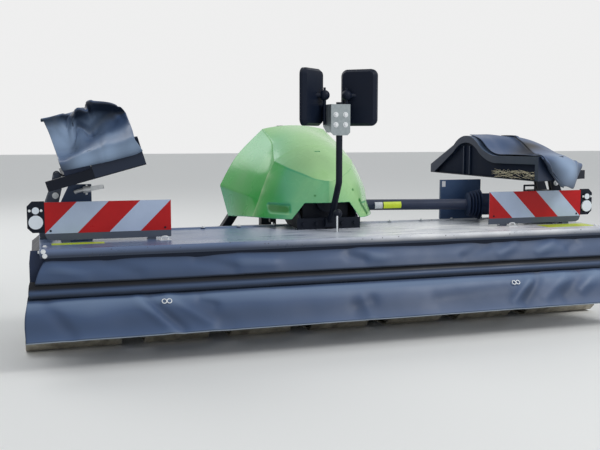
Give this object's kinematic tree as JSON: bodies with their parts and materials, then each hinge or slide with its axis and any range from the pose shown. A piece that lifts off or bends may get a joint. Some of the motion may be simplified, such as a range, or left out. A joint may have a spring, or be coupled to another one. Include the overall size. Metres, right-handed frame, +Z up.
{
  "type": "front disc mower",
  "caption": "Tractor front disc mower in transport position, side guards folded over the deck, on its parking stand.",
  "frame": {"origin": "on the ground, under the centre of the machine's bounding box", "axes": "+X to the right seen from the front curtain towards the tractor, +Y back to the tractor, +Z up"},
  "size_m": [3.008, 1.38, 1.307],
  "materials": {
    "hood_green": "satin",
    "deck_silver": "satin",
    "frame_black": "satin",
    "bare_steel": "worn",
    "zinc": "galvanised",
    "black_plastic": "matte",
    "rubber": "matte",
    "curtain_cloth": "matte",
    "board_red": "reflective sheet",
    "lens_white": "clear",
    "guard_green": "satin"
  },
  "bodies": {
    "base": {"deck": "deck_silver", "cutterbar": "frame_black", "skid_shoes": "bare_steel", "main_beam": "frame_black", "carrier_arm_left": "frame_black", "carrier_arm_right": "frame_black", "end_cover_left": "frame_black", "end_cover_right": "frame_black", "curtain_upper": "curtain_cloth", "curtain_rib": "curtain_cloth", "curtain_lower": "curtain_cloth", "board_left": "board_red", "board_right": "board_red", "board_handle": "black_plastic", "light_plate_left": "black_plastic", "light_plate_right": "black_plastic", "lamp_lenses": "lens_white", "reflectors": "lens_white", "hood": "hood_green", "gearbox_supports": "frame_black", "centre_gearbox": "frame_black", "shaft_guard": "black_plastic", "bellows": "rubber", "side_gearbox": "frame_black", "drive_panel": "frame_black", "mirror_post": "frame_black", "mirror_bracket": "zinc", "mirror_left": "black_plastic", "mirror_right": "black_plastic", "hinge_bracket_left": "frame_black", "hinge_bracket_right": "frame_black", "latch_plate": "frame_black", "headstock": "frame_black", "float_arm_left": "frame_black", "float_arm_right": "frame_black", "top_arm": "frame_black", "relief_springs": "bare_steel"},
    "disc_1": {"disc_1": "bare_steel"},
    "disc_2": {"disc_2": "bare_steel"},
    "disc_3": {"disc_3": "bare_steel"},
    "disc_4": {"disc_4": "bare_steel"},
    "disc_5": {"disc_5": "bare_steel"},
    "disc_6": {"disc_6": "bare_steel"},
    "disc_7": {"disc_7": "bare_steel"},
    "pto_stub": {"pto_stub": "bare_steel"},
    "guard_right": {"guard_frame_right": "frame_black", "guard_shell_right": "guard_green", "guard_cloth_right": "curtain_cloth"},
    "guard_left": {"guard_frame_left": "frame_black", "guard_shell_left": "guard_green", "guard_cloth_left": "curtain_cloth"},
    "parking_stand": {"parking_stand": "frame_black"}
  },
  "joints": [
    {"name": "disc_1_turn", "type": "hinge", "parent": "base", "child": "disc_1", "pos_m": [-1.23, -0.18, 0.088], "axis": [0, 0, 1], "continuous": true},
    {"name": "disc_2_turn", "type": "hinge", "parent": "base", "child": "disc_2", "pos_m": [-0.82, -0.18, 0.088], "axis": [0, 0, 1], "continuous": true},
    {"name": "disc_3_turn", "type": "hinge", "parent": "base", "child": "disc_3", "pos_m": [-0.41, -0.18, 0.088], "axis": [0, 0, 1], "continuous": true},
    {"name": "disc_4_turn", "type": "hinge", "parent": "base", "child": "disc_4", "pos_m": [0, -0.18, 0.088], "axis": [0, 0, 1], "continuous": true},
    {"name": "disc_5_turn", "type": "hinge", "parent": "base", "child": "disc_5", "pos_m": [0.41, -0.18, 0.088], "axis": [0, 0, 1], "continuous": true},
    {"name": "disc_6_turn", "type": "hinge", "parent": "base", "child": "disc_6", "pos_m": [0.82, -0.18, 0.088], "axis": [0, 0, 1], "continuous": true},
    {"name": "disc_7_turn", "type": "hinge", "parent": "base", "child": "disc_7", "pos_m": [1.23, -0.18, 0.088], "axis": [0, 0, 1], "continuous": true},
    {"name": "pto_turn", "type": "hinge", "parent": "base", "child": "pto_stub", "pos_m": [0, 0.24, 0.64], "axis": [0, 1, 0], "continuous": true},
    {"name": "guard_right_fold", "type": "hinge", "parent": "base", "child": "guard_right", "pos_m": [1.34, -0.06, 0.79], "axis": [0, 1, 0], "range_deg": [0, 180]},
    {"name": "guard_left_fold", "type": "hinge", "parent": "base", "child": "guard_left", "pos_m": [-1.34, -0.06, 0.79], "axis": [0, -1, 0], "range_deg": [0, 163]},
    {"name": "stand_slide", "type": "slide", "parent": "base", "child": "parking_stand", "axis": [0, 0, 1], "range_m": [0, 0.24]}
  ],
  "couplings": [
    {"joint": "disc_2_turn", "follows": "disc_1_turn", "ratio": -1},
    {"joint": "disc_3_turn", "follows": "disc_1_turn", "ratio": 1},
    {"joint": "disc_4_turn", "follows": "disc_1_turn", "ratio": -1},
    {"joint": "disc_5_turn", "follows": "disc_1_turn", "ratio": 1},
    {"joint": "disc_6_turn", "follows": "disc_1_turn", "ratio": -1},
    {"joint": "disc_7_turn", "follows": "disc_1_turn", "ratio": 1},
    {"joint": "pto_turn", "follows": "disc_1_turn", "ratio": 0.33333}
  ]
}
